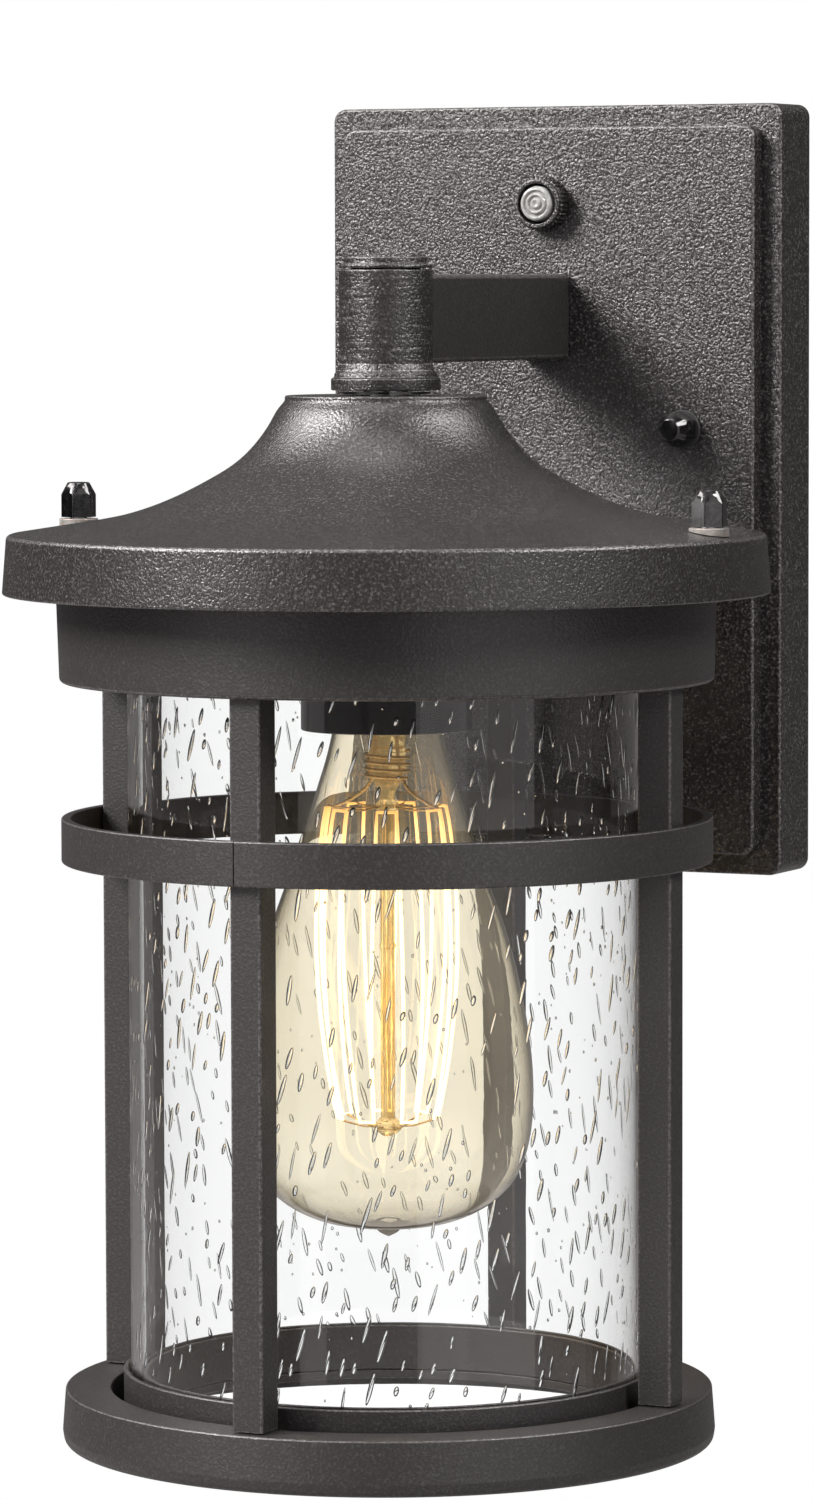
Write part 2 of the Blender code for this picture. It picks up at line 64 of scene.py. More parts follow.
AXIS_Y = middle("roof").y / MM
PLATE_Z = middle("backplate").z / MM
AXIS = (0.0, AXIS_Y, PLATE_Z)
FIXED, CAGE, BULB = "fixture", "cage", "bulb"
ROOF_STUD_X = 77.3                         # each roof stud, out from the lantern's axis
STUD_HOLE, SCREW_HOLE, CABLE_HOLE = 2.25, 1.75, 2.8      # radii


# ------------------------------------------------------------------ camera
def add_camera():
    place = Vector((0.60863, -1.37058, 0.03423))
    turn, dip, lean = radians(25.549), radians(4.230), radians(-0.158)
    ahead = Vector((-sin(turn) * cos(dip), cos(turn) * cos(dip), -sin(dip)))
    right = Vector((cos(turn), sin(turn), 0))
    above = right.cross(ahead)
    x_axis = right * cos(lean) + above * sin(lean)
    y_axis = -right * sin(lean) + above * cos(lean)
    data = bpy.data.cameras.new("camera")
    data.sensor_width = 36.0
    data.lens = 152.2
    data.clip_start, data.clip_end = 0.05, 60
    camera = bpy.data.objects.new("camera", data)
    camera.matrix_world = Matrix((
        (x_axis.x, y_axis.x, -ahead.x, place.x),
        (x_axis.y, y_axis.y, -ahead.y, place.y),
        (x_axis.z, y_axis.z, -ahead.z, place.z),
        (0, 0, 0, 1)))
    scene.collection.objects.link(camera)
    scene.camera = camera


# ------------------------------------------------------------------ materials
class Tree:
    """Short hand for a material's nodes."""

    def __init__(self, name):
        self.material = bpy.data.materials.new(name)
        self.material.use_nodes = True
        self.tree = self.material.node_tree
        self.shader = self.tree.nodes["Principled BSDF"]
        self.output = self.tree.nodes["Material Output"]
        self.place = self.node("TexCoord").outputs["Object"]

    def node(self, kind, **settings):
        made = self.tree.nodes.new("ShaderNode" + kind)
        for key, value in settings.items():
            setattr(made, key, value)
        return made

    def link(self, source, target):
        self.tree.links.new(source, target)
        return self

    def set(self, **values):
        for key, value in values.items():
            socket = self.shader.inputs[key.replace("_", " ")]
            socket.default_value = (*value, 1.0) if isinstance(value, tuple) else value
        return self

    def noise(self, scale, detail=2.0, rough=0.5, stretch=None):
        made = self.node("TexNoise")
        made.inputs["Scale"].default_value = scale
        made.inputs["Detail"].default_value = detail
        made.inputs["Roughness"].default_value = rough
        source = self.place
        if stretch:
            mapping = self.node("Mapping")
            mapping.inputs["Scale"].default_value = stretch
            self.link(self.place, mapping.inputs["Vector"])
            source = mapping.outputs["Vector"]
        self.link(source, made.inputs["Vector"])
        return made.outputs["Fac"]

    def ramp(self, source, *stops):
        """Colours along a value: stops are (place, colour)."""
        made = self.node("ValToRGB")
        elements = made.color_ramp.elements
        while len(elements) < len(stops):
            elements.new(0.5)
        for element, (place, colour) in zip(elements, stops):
            element.position = place
            element.color = (*colour, 1.0)
        self.link(source, made.inputs["Fac"])
        return made.outputs["Color"]

    def span(self, source, low, high, to_low, to_high):
        made = self.node("MapRange")
        for key, value in (("From Min", low), ("From Max", high), ("To Min", to_low),
                           ("To Max", to_high)):
            made.inputs[key].default_value = value
        self.link(source, made.inputs["Value"])
        return made.outputs["Result"]

    def mix(self, factor, first, second):
        made = self.node("Mix", data_type='RGBA')
        for key, value in ((0, factor), (6, first), (7, second)):
            if isinstance(value, tuple):
                made.inputs[key].default_value = (*value, 1.0)
            elif isinstance(value, float):
                made.inputs[key].default_value = value
            else:
                self.link(value, made.inputs[key])
        return made.outputs[2]

    def sum(self, first, second, operation='ADD'):
        made = self.node("Math", operation=operation)
        for key, value in ((0, first), (1, second)):
            if isinstance(value, float):
                made.inputs[key].default_value = value
            else:
                self.link(value, made.inputs[key])
        return made.outputs["Value"]

    def bump(self, source, strength, depth):
        made = self.node("Bump")
        made.inputs["Strength"].default_value = strength
        made.inputs["Distance"].default_value = depth
        self.link(source, made.inputs["Height"])
        self.link(made.outputs["Normal"], self.shader.inputs["Normal"])
        return self

    def colour(self, source):
        return self.link(source, self.shader.inputs["Base Color"])

    def rough(self, source):
        return self.link(source, self.shader.inputs["Roughness"])


def powder_coat(name, grit, gloss, lathe=0.0):
    """Fine textured paint. Grit is the depth of its texture, from 0 to 1."""
    t = Tree(name)
    grain = t.noise(1600.0, 2.0, 0.6)
    cloud = t.noise(38.0, 3.0)

    def shade(value, warmth=0.12):
        return value, value * (1.0 - warmth), value * (1.0 - warmth)

    if lathe:
        lines = t.noise(1000.0, 2.0, 0.6, (0.05, 0.05, 1.0))
        grain = t.sum(t.sum(grain, 1.0 - lathe, 'MULTIPLY'), t.sum(lines, lathe, 'MULTIPLY'))
    tone = t.ramp(grain, (0.36, shade(0.0165 - 0.006 * grit)), (0.52, shade(0.0225)),
                  (0.60, shade(0.027 + 0.026 * grit, 0.06)),
                  (0.68, shade(0.034 + 0.10 * grit, 0.03)))
    tone = t.mix(t.span(cloud, 0.35, 0.7, 0.0, 0.3), tone, shade(0.018))
    # Painted highlight: a light grey laid on the crests of small rounded edges, broken up by the
    # grain, for the bright lines the edges catch from the lamps.
    edge = t.node("Attribute", attribute_name="edge").outputs["Fac"]
    edge_highlight = t.sum(edge, t.span(grain, 0.42, 0.58, 0.10, 0.85), 'MULTIPLY')
    tone = t.mix(edge_highlight, tone, (0.26, 0.248, 0.245))
    t.colour(tone)
    t.rough(t.span(grain, 0.3, 0.7, gloss + 0.06, gloss - 0.04))
    t.bump(grain, 1.0, 0.00008 + 0.00026 * grit)
    return t.set(Specular_IOR_Level=0.5, Metallic=0.0).material


def black_metal():
    t = Tree("black_metal")
    haze = t.noise(900.0, 3.0)
    t.colour(t.ramp(haze, (0.35, (0.015, 0.015, 0.015)), (0.7, (0.045, 0.044, 0.044))))
    t.rough(t.span(haze, 0.3, 0.7, 0.14, 0.26))
    t.bump(t.noise(2400.0), 0.4, 0.00010)
    return t.set(Metallic=1.0, Coat_Weight=0.8, Coat_Roughness=0.06).material


def metal(name, low, high, roughness, scale=600.0, stretch=(1, 1, 8), depth=0.00003):
    t = Tree(name)
    wear = t.noise(scale, 4.0, 0.6, stretch)
    t.colour(t.ramp(wear, (0.3, low), (0.7, high)))
    t.rough(t.span(wear, 0.3, 0.7, roughness, roughness + 0.14))
    t.bump(wear, 0.25, depth)
    return t.set(Metallic=1.0).material


def plain(name, low, high, roughness, scale=500.0, **settings):
    t = Tree(name)
    fine = t.noise(scale, 3.0)
    t.colour(t.ramp(fine, (0.3, low), (0.7, high)))
    t.rough(t.span(fine, 0.3, 0.7, roughness, roughness + 0.12))
    t.bump(fine, 0.15, 0.00005)
    return t.set(**settings).material


def lamps_pass(t, tint):
    """Lets lamp light through a glass, as a real thin one does."""
    path = t.node("LightPath")
    clear = t.node("BsdfTransparent")
    clear.inputs["Color"].default_value = (*tint, 1.0)
    mixed = t.node("MixShader")
    t.link(path.outputs["Is Shadow Ray"], mixed.inputs["Fac"])
    t.link(t.shader.outputs["BSDF"], mixed.inputs[1])
    t.link(clear.outputs["BSDF"], mixed.inputs[2])
    t.link(mixed.outputs["Shader"], t.output.inputs["Surface"])


def seeded_glass():
    t = Tree("seeded_glass")
    t.set(Base_Color=(0.985, 0.99, 0.988), Roughness=0.0, IOR=1.47, Transmission_Weight=1.0)
    t.bump(t.noise(95.0, 2.0, 0.5, (1, 1, 0.45)), 0.10, 0.0001)
    lamps_pass(t, (0.93, 0.94, 0.935))
    return t.material


def seed_wall():
    """The wall of a bubble in the glass, with painted shade darkening it where it turns away, as a
    dark rim.
    """
    t = Tree("glass_seed")
    t.set(Roughness=0.0, IOR=1.47, Transmission_Weight=1.0)
    # Painted shade: darker towards grazing, for the dark rim that a bubble shows.
    turned = t.node("LayerWeight")
    turned.inputs["Blend"].default_value = 0.5
    t.colour(t.ramp(turned.outputs["Facing"], (0.3, (0.99, 0.99, 0.99)), (0.8, (0.68, 0.68, 0.68))))
    lamps_pass(t, (0.93, 0.94, 0.935))
    return t.material


def bulb_glass():
    t = Tree("amber_glass")
    t.set(Roughness=0.0, IOR=1.45, Transmission_Weight=1.0)
    tint = t.ramp(t.noise(22.0), (0.3, (0.94, 0.895, 0.78)), (0.7, (0.965, 0.925, 0.82)))
    slant = t.node("LayerWeight")
    slant.inputs["Blend"].default_value = 0.5
    t.colour(t.mix(t.span(slant.outputs["Facing"], 0.48, 0.92, 0.0, 0.95), tint,
                   (0.50, 0.45, 0.33)))
    t.bump(t.noise(160.0), 0.03, 0.0004)
    # Painted glow: a faint warm emission for the filament's light caught in the glass.
    t.set(Emission_Color=(1.0, 0.88, 0.66), Emission_Strength=0.02)
    lamps_pass(t, (0.95, 0.88, 0.76))
    return t.material


def stem_glass():
    t = Tree("stem_glass")
    # Painted glow: the stem's warm emission stands in for the filament's light caught in the
    # pressed glass.
    t.set(Roughness=0.05, IOR=1.48, Transmission_Weight=0.8,
          Emission_Color=(1.0, 0.72, 0.28), Emission_Strength=0.09)
    t.colour(t.ramp(t.noise(700.0, 2.0, 0.5, (1, 1, 0.1)), (0.40, (0.55, 0.38, 0.14)),
                    (0.58, (0.99, 0.88, 0.60))))
    t.bump(t.noise(900.0, 2.0, 0.5, (1, 1, 0.15)), 0.6, 0.0003)
    return t.material


def glowing():
    """The filament is hottest between its supports, and only golden near the top ones."""
    t = Tree("filament")
    heat = t.noise(900.0)
    t.set(Roughness=0.5, Emission_Strength=3.2)
    t.colour(t.ramp(heat, (0.3, (0.8, 0.45, 0.15)), (0.7, (0.9, 0.6, 0.25))))
    height = t.node("SeparateXYZ")
    t.link(t.place, height.inputs["Vector"])
    span = t.span(height.outputs["Z"], -0.106, -0.080, 0.0, 1.0)
    t.link(t.mix(span, t.ramp(heat, (0.3, (1.0, 0.74, 0.38)), (0.7, (1.0, 0.84, 0.52))),
                 (0.34, 0.17, 0.03)), t.shader.inputs["Emission Color"])
    return t.material


def lens_plastic():
    t = Tree("clear_plastic")
    t.set(IOR=1.49, Transmission_Weight=0.35)
    fine = t.noise(800.0)
    t.colour(t.ramp(fine, (0.3, (0.34, 0.34, 0.33)), (0.7, (0.62, 0.62, 0.60))))
    t.rough(t.span(fine, 0.3, 0.7, 0.03, 0.08))
    t.bump(fine, 0.1, 0.0001)
    return t.material


CAST_COAT = powder_coat("powder_coat_cast", 1.0, 0.14)
ROOF_COAT = powder_coat("powder_coat_roof", 0.5, 0.22)
TURNED_COAT = powder_coat("powder_coat_turned", 1.3, 0.2, 0.35)
FINISH = {
    "powder_coat": powder_coat("powder_coat", 0.15, 0.38),
    "black_metal": black_metal(),
    "zinc_steel": metal("zinc_steel", (0.42, 0.43, 0.44), (0.68, 0.69, 0.70), 0.26),
    "green_screw": metal("green_screw", (0.03, 0.22, 0.06), (0.08, 0.42, 0.13), 0.3),
    "ivory_nylon": plain("ivory_nylon", (0.15, 0.14, 0.125), (0.30, 0.28, 0.255), 0.3,
                         Subsurface_Weight=0.15, Subsurface_Scale=0.002),
    "black_plastic": plain("black_plastic", (0.010, 0.010, 0.010), (0.020, 0.020, 0.020), 0.3),
    "clear_plastic": lens_plastic(),
    "porcelain": plain("porcelain", (0.78, 0.77, 0.73), (0.88, 0.87, 0.84), 0.14, 120.0,
                       Coat_Weight=0.5, Coat_Roughness=0.05),
    "brass": metal("brass", (0.62, 0.42, 0.16), (0.86, 0.64, 0.30), 0.22),
    "lamp_base": metal("lamp_base", (0.60, 0.52, 0.36), (0.84, 0.76, 0.58), 0.2),
    "black_glass": plain("black_glass", (0.006, 0.006, 0.006), (0.014, 0.013, 0.013), 0.06),
    "amber_glass": bulb_glass(),
    "stem_glass": stem_glass(),
    "filament": glowing(),
    "seeded_glass": seeded_glass(),
    "rubber": plain("rubber", (0.016, 0.016, 0.016), (0.03, 0.03, 0.03), 0.5),
    "cable": plain("cable", (0.010, 0.010, 0.010), (0.022, 0.022, 0.022), 0.35),
}
SLOT_OF = {row["node"]: row["material_slot"] for row in frame["record"]["subparts"]}


# ------------------------------------------------------------------ mesh helpers
def place_mesh(bm, name, body, node, slot=None, sharp=32, finish=None):
    """Makes the bmesh a piece that rides on a body and stands for a CAD node."""
    mesh = bpy.data.meshes.new(name)
    bm.to_mesh(mesh)
    bm.free()
    mesh.shade_smooth()
    mesh.set_sharp_from_angle(angle=radians(sharp))
    piece = bpy.data.objects.new(name, mesh)
    scene.collection.objects.link(piece)
    slot = slot or SLOT_OF[node]
    mesh.materials.clear()
    mesh.materials.append(finish or FINISH[slot])
    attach(piece, body)
    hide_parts(node)
    # Flat faces stay flat beside their rounded edges
    normals = piece.modifiers.new("normals", 'WEIGHTED_NORMAL')
    normals.keep_sharp = True
    normals.weight = 80
    return piece


def rounded(profile, closed=True, steps=5):
    """Rounds the corners that have a third value. Gives (radius, height, painted edge highlight)
    points.
    """
    points = [(p[0], p[1], p[2] if len(p) > 2 else 0.0) for p in profile]
    made = []
    count = len(points)
    area = sum(points[i][0] * points[(i + 1) % count][1] - points[(i + 1) % count][0] * points[i][1]
               for i in range(count))
    for i, (x, y, radius) in enumerate(points):
        if not radius or (not closed and i in (0, count - 1)):
            made.append((x, y, 0.0))
            continue
        before = Vector(points[i - 1][:2]) - Vector((x, y))
        after = Vector(points[(i + 1) % count][:2]) - Vector((x, y))
        opening = before.angle(after)
        reach = min(radius / tan(opening / 2), before.length * 0.49, after.length * 0.49)
        radius = reach * tan(opening / 2)
        turn = before.x * after.y - before.y * after.x
        # Painted highlight strength for the crest of a small fillet, weaker on corners that turn
        # the other way.
        edge_highlight = (1.0 if turn * area > 0 else 0.3) if radius <= 1.2 else 0.0
        first, last = before.normalized() * reach, after.normalized() * reach
        centre = (before.normalized() + after.normalized()).normalized()
        centre *= radius / sin(opening / 2)
        start = atan2(first.y - centre.y, first.x - centre.x)
        end = atan2(last.y - centre.y, last.x - centre.x)
        sweep = (end - start + pi) % (2 * pi) - pi
        for k in range(steps + 1):
            angle = start + sweep * k / steps
            crest = abs(k + 0.5 - steps / 2) < 0.3 * steps
            made.append((x + centre.x + radius * cos(angle), y + centre.y + radius * sin(angle),
                         edge_highlight if crest else 0.0))
    return made


def curve_through(points, per=4):
    """A smooth line through (radius, height) points."""
    made = []
    for i in range(len(points) - 1):
        a = points[max(i - 1, 0)]
        b, c = points[i], points[i + 1]
        d = points[min(i + 2, len(points) - 1)]
        for k in range(per):
            t = k / per
            made.append(tuple(
                0.5 * (2 * b[j] + (c[j] - a[j]) * t
                       + (2 * a[j] - 5 * b[j] + 4 * c[j] - d[j]) * t * t
                       + (3 * b[j] - a[j] - 3 * c[j] + d[j]) * t ** 3) for j in (0, 1)))
    made.append(tuple(points[-1][:2]))
    return made


def lathe_mesh(profile, segments=180, centre=AXIS, closed=True, axis='Z', arc=None, flex=None):
    """A turned bmesh about an upright axis, or about one along -Y for axis 'Y'."""
    bm = bmesh.new()
    edge = bm.faces.layers.float.new("edge")
    start, sweep = arc if arc else (0.0, 2 * pi)
    whole = arc is None
    rings = segments if whole else segments + 1
    spin = []
    for s in range(rings):
        angle = start + sweep * s / segments
        spin.append((angle, cos(angle), sin(angle)))

    def put(r, z, angle, c, n):
        if flex:
            r, z = flex(r, z, angle)
        if axis == 'Z':
            x, y, h = r * c, r * n, z
        else:
            x, y, h = r * c, -z, r * n
        return bm.verts.new(((centre[0] + x) * MM, (centre[1] + y) * MM, (centre[2] + h) * MM))

    columns = []
    for r, z, *_ in profile:
        if r < 1e-6:
            pole = put(0.0, z, 0.0, 1.0, 0.0)
            columns.append([pole] * rings)
        else:
            columns.append([put(r, z, angle, c, n) for angle, c, n in spin])
    spans = len(profile) if closed else len(profile) - 1
    for i in range(spans):
        j = (i + 1) % len(profile)
        # A profile point's third value is the painted edge highlight of the faces after it.
        mark = profile[i][2] if len(profile[i]) > 2 else 0.0
        for s in range(segments):
            u = (s + 1) % rings
            corners = []
            for v in (columns[i][s], columns[i][u], columns[j][u], columns[j][s]):
                if v not in corners:
                    corners.append(v)
            if len(corners) > 2:
                face = bm.faces.new(corners)
                face[edge] = mark
    if not whole:
        for s in (0, rings - 1):
            bm.faces.new([column[s] for column in columns])
    bmesh.ops.recalc_face_normals(bm, faces=bm.faces)
    return bm


def turned(name, node, body, profile, segments=180, centre=AXIS, closed=True, slot=None, axis='Z',
           arc=None, steps=5, sharp=32, finish=None):
    bm = lathe_mesh(rounded(profile, closed, steps), segments, centre, closed, axis, arc)
    return place_mesh(bm, name, body, node, slot, sharp, finish)


def soft_box(size, centre, corner, edge_size, along='Z', steps=4, turn=0.0):
    """A box with rounded edges: corner along one axis, then a small edge all round."""
    bm = bmesh.new()
    mark = bm.faces.layers.float.new("edge")
    bmesh.ops.create_cube(bm, size=1.0)
    bmesh.ops.scale(bm, vec=[v * MM for v in size], verts=bm.verts)
    axis = 'XYZ'.index(along)
    runs = [e for e in bm.edges if abs((e.verts[0].co - e.verts[1].co)[axis]) > 1e-6]
    made = bmesh.ops.bevel(bm, geom=runs, offset=corner * MM, segments=steps, profile=0.5,
                           affect='EDGES')
    # Painted highlight along the rounded edges: faint on the long rounded corners, full on the
    # small edges.
    if corner < 1.2:
        for face in made["faces"]:
            face[mark] = 0.35
    if edge_size:
        rims = [e for e in bm.edges if e.calc_face_angle(0) > 0.9]
        made = bmesh.ops.bevel(bm, geom=rims, offset=edge_size * MM, segments=3, profile=0.5,
                               affect='EDGES')
        for face in made["faces"]:
            face[mark] = 1.0
    bmesh.ops.rotate(bm, cent=(0, 0, 0), matrix=Matrix.Rotation(turn, 3, 'Z'), verts=bm.verts)
    bmesh.ops.translate(bm, vec=[v * MM for v in centre], verts=bm.verts)
    bmesh.ops.recalc_face_normals(bm, faces=bm.faces)
    return bm


def cylinder(radius, low, high, centre, axis='Z', segments=64):
    return lathe_mesh([(0, high), (radius, high), (radius, low), (0, low)], segments, centre,
                      False, axis)


def cut_away(piece, cutters):
    """Cuts bmeshes out of a piece and leaves no modifier or cutter behind."""
    for bm in cutters:
        mesh = bpy.data.meshes.new("cutter")
        bm.to_mesh(mesh)
        bm.free()
        cutter = bpy.data.objects.new("cutter", mesh)
        scene.collection.objects.link(cutter)
        piece.modifiers["normals"].show_viewport = False
        modifier = piece.modifiers.new("cut", 'BOOLEAN')
        modifier.operation, modifier.solver, modifier.object = 'DIFFERENCE', 'EXACT', cutter
        bpy.context.view_layer.update()
        graph = bpy.context.evaluated_depsgraph_get()
        result = bpy.data.meshes.new_from_object(piece.evaluated_get(graph))
        piece.modifiers.remove(modifier)
        piece.modifiers["normals"].show_viewport = True
        kept = list(piece.data.materials)
        piece.data = result
        result.materials.clear()
        for m in kept:
            result.materials.append(m)
        for polygon in result.polygons:
            polygon.material_index = min(polygon.material_index, len(kept) - 1)
        result.shade_smooth()
        result.set_sharp_from_angle(angle=radians(32))
        bpy.data.objects.remove(cutter, do_unlink=True)


# ------------------------------------------------------------------ backplate
def rounded_frame_loft(rows, steps=8):
    """A hollow pressed box: rows are (half width, half height, y, corner radius, painted edge
    highlight).
    """
    bm = bmesh.new()
    mark = bm.faces.layers.float.new("edge")
    loops = []
    for half_w, half_h, y, radius, flag in rows:
        loop = []
        for qx, qz, start in ((1, 1, 0), (-1, 1, 90), (-1, -1, 180), (1, -1, 270)):
            for k in range(steps + 1):
                angle = radians(start + 90 * k / steps)
                x = qx * (half_w - radius) + radius * cos(angle)
                z = qz * (half_h - radius) + radius * sin(angle)
                loop.append(bm.verts.new((x * MM, y * MM, (z + PLATE_Z) * MM)))
        loops.append((loop, flag))
    count = len(loops[0][0])
    for (first, flag), (second, _) in zip(loops, loops[1:]):
        for s in range(count):
            face = bm.faces.new((first[s], first[(s + 1) % count], second[(s + 1) % count],
                                 second[s]))
            face[mark] = flag
    return bm, loops


def build_backplate():
    low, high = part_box("backplate")
    half_w, half_h = (high.x - low.x) / 2 / MM, (high.z - low.z) / 2 / MM
    rim, panel, wall = -17.2, -22.0, 2.2   # the faces of rim and panel, and the thickness
    step_w, step_h = 52.3, 84.0            # half the size of the raised panel
    border = 4.9
    outline = rounded([(0.0, 0.0), (0.0, -rim, 0.7), (border, -rim), (border, -panel, 0.8),
                       (20.0, -panel)], False, 5)
    rows = []
    for inset, depth, flag in outline:
        if inset < border - 1e-6:
            rows.append((half_w - inset, half_h - inset, -depth, max(3.0 - inset * 0.3, 0.4), flag))
        else:
            more = inset - border
            rows.append((step_w - more, step_h - more, -depth, max(3.0 - more * 0.3, 0.4), flag))
    rows = rows[:-1] + [(step_w - 15, step_h - 15, panel, 2.0, 0.0)]
    bm, loops = rounded_frame_loft(rows)
    bm.faces.new(loops[-1][0])
    # The back's outer edge gets a weaker painted edge highlight.
    inner = [(half_w, half_h, 0.0, 3.0, 0.3), (half_w - wall, half_h - wall, 0.0, 1.6, 0.0),
             (half_w - wall, half_h - wall, rim + wall, 1.6, 0.0),
             (step_w - wall, step_h - wall, rim + wall, 1.6, 0.0),
             (step_w - wall, step_h - wall, panel + wall, 1.6, 0.0)]
    back, back_loops = rounded_frame_loft(inner)
    back.faces.new(back_loops[-1][0])
    mesh = bpy.data.meshes.new("plate_back")
    back.to_mesh(mesh)
    back.free()
    bm.from_mesh(mesh)
    bpy.data.meshes.remove(mesh)
    bmesh.ops.remove_doubles(bm, verts=bm.verts, dist=1e-6)
    bmesh.ops.recalc_face_normals(bm, faces=bm.faces)
    plate = place_mesh(bm, "backplate_shell", FIXED, "backplate", finish=CAST_COAT)
    holes = []
    for side in ("left", "right"):
        stud = middle("mounting_stud_" + side) / MM
        holes.append(cylinder(STUD_HOLE, 14, 26, (stud.x, 0, stud.z), 'Y', 40))
    cell = middle("photocell_body") / MM
    arm = middle("arm") / MM
    holes.append(cylinder(4.5, 14, 26, (0, 0, cell.z), 'Y', 48))
    holes.append(cylinder(CABLE_HOLE, 14, 26, (0, 0, arm.z), 'Y', 32))
    for which in ("upper", "lower"):
        screw = middle("arm_screw_" + which) / MM
        holes.append(cylinder(SCREW_HOLE, 14, 26, (0, 0, screw.z), 'Y', 32))
    cut_away(plate, holes)


# ------------------------------------------------------------------ nuts and washers
def build_cap_nut(name, node, body, upright, turn):
    low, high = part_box(node)
    centre = (low + high) / 2 / MM
    height, flats = 7.9, 7.0
    corner = flats / 2 / cos(pi / 6)       # half the width across its corners
    bm = bmesh.new()
    bm.faces.layers.float.new("edge")
    bmesh.ops.create_cone(bm, cap_ends=True, segments=6, radius1=corner * MM, radius2=corner * MM,
                          depth=height * MM)
    sides = [e for e in bm.edges if abs(e.verts[0].co.z - e.verts[1].co.z) > 1e-5]
    bmesh.ops.bevel(bm, geom=sides, offset=0.22 * MM, segments=3, profile=0.5, affect='EDGES')
    bmesh.ops.translate(bm, vec=(0, 0, height / 2 * MM), verts=bm.verts)
    bmesh.ops.recalc_face_normals(bm, faces=bm.faces)
    piece = place_mesh(bm, name, body, node)
    chamfer = lathe_mesh([(0, height + 3), (9, height + 3), (9, height - 5.5),
                          (corner + 0.05, height - 3.1), (2.55, height - 0.24),
                          (2.35, height - 0.08), (2.1, height - 0.03), (0, height - 0.02)],
                         96, (0, 0, 0), False)
    bore = lathe_mesh([(0, 5.6), (2.25, 5.0), (2.25, -3), (0, -3)], 48, (0, 0, 0), False)
    cut_away(piece, [chamfer, bore])
    if upright:
        place = Matrix.Translation((centre.x * MM, centre.y * MM, low.z))
    else:
        place = Matrix.Translation((centre.x * MM, high.y, centre.z * MM))
        place = place @ Matrix.Rotation(pi / 2, 4, 'X')
    piece.data.transform(place @ Matrix.Rotation(turn, 4, 'Z'))


def build_nuts():
    for side, sign in (("left", -1), ("right", 1)):
        build_cap_nut("wall_nut_" + side, "mounting_cap_nut_" + side, "mounting_nut_" + side,
                      False, 0.0)
        build_cap_nut("roof_nut_" + side, "roof_cap_nut_" + side, "roof_nut_" + side, True,
                      radians(9))
        flat = middle("mounting_washer_" + side) / MM
        front = -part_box("mounting_washer_" + side)[0].y / MM
        turned("wall_washer_" + side, "mounting_washer_" + side, "mounting_nut_" + side,
               [(4.4, front, 0.2), (4.4, front - 0.8, 0.2), (2.3, front - 0.8), (2.3, front, 0.2)],
               72, (flat.x, 0, flat.z), axis='Y')
        wedge = middle("roof_washer_" + side) / MM
        piece = turned("brim_washer_" + side, "roof_washer_" + side, "roof_nut_" + side,
                       [(4.4, -4.9, 0.25), (4.4, -8.5), (2.35, -8.5), (2.35, -4.9, 0.2)], 96,
                       (sign * ROOF_STUD_X, wedge.y, PLATE_Z))
        slope = radians(8.3)               # of the brim under the nuts
        seat = soft_box((16, 16, 8), (0, 0, 0), 0.05, 0, 'Z')
        bmesh.ops.rotate(seat, cent=(0, 0, 0), matrix=Matrix.Rotation(sign * slope, 3, 'Y'),
                         verts=seat.verts)
        bmesh.ops.translate(seat, verts=seat.verts,
                            vec=[v * MM for v in (sign * (ROOF_STUD_X - 4.3 * sin(slope)), wedge.y,
                                                  PLATE_Z - 6.1 - 4.0 * cos(slope))])
        cut_away(piece, [seat])


# ------------------------------------------------------------------ photocell
def build_photocell():
    cell = middle("photocell_body") / MM
    centre = (cell.x, 0, cell.z)
    turned("sensor_lens", "photocell_lens", FIXED,
           [(0, 27.3), (0.9, 28.15, 0.3), (1.5, 27.1, 0.15), (2.1, 28.1, 0.3),
            (2.75, 27.0, 0.15), (3.2, 27.8, 0.25), (3.85, 27.4, 0.3),
            (4.1, 26.6, 0.2), (4.1, 23.1, 0.2), (0, 23.1)], 96, centre, False, axis='Y', steps=3)
    profile = rounded([(4.75, 27.3, 0.2), (5.75, 27.3, 0.35), (5.75, 26.05), (6.2, 25.9, 0.15),
                       (6.2, 22.3, 0.15), (4.55, 22.3)], True, 4)
    teeth = 36

    def knurl(r, z, angle):
        if r < 5.95:
            return r, z
        wave = abs(((angle * teeth / (2 * pi)) % 1.0) - 0.5) * 2
        return r - 0.36 * min(max(wave * 1.7 - 0.35, 0.0), 1.0), z

    bm = lathe_mesh(profile, teeth * 8, centre, True, 'Y', None, knurl)
    place_mesh(bm, "sensor_bezel", "photocell_ring", "photocell_knurled_ring", finish=TURNED_COAT)


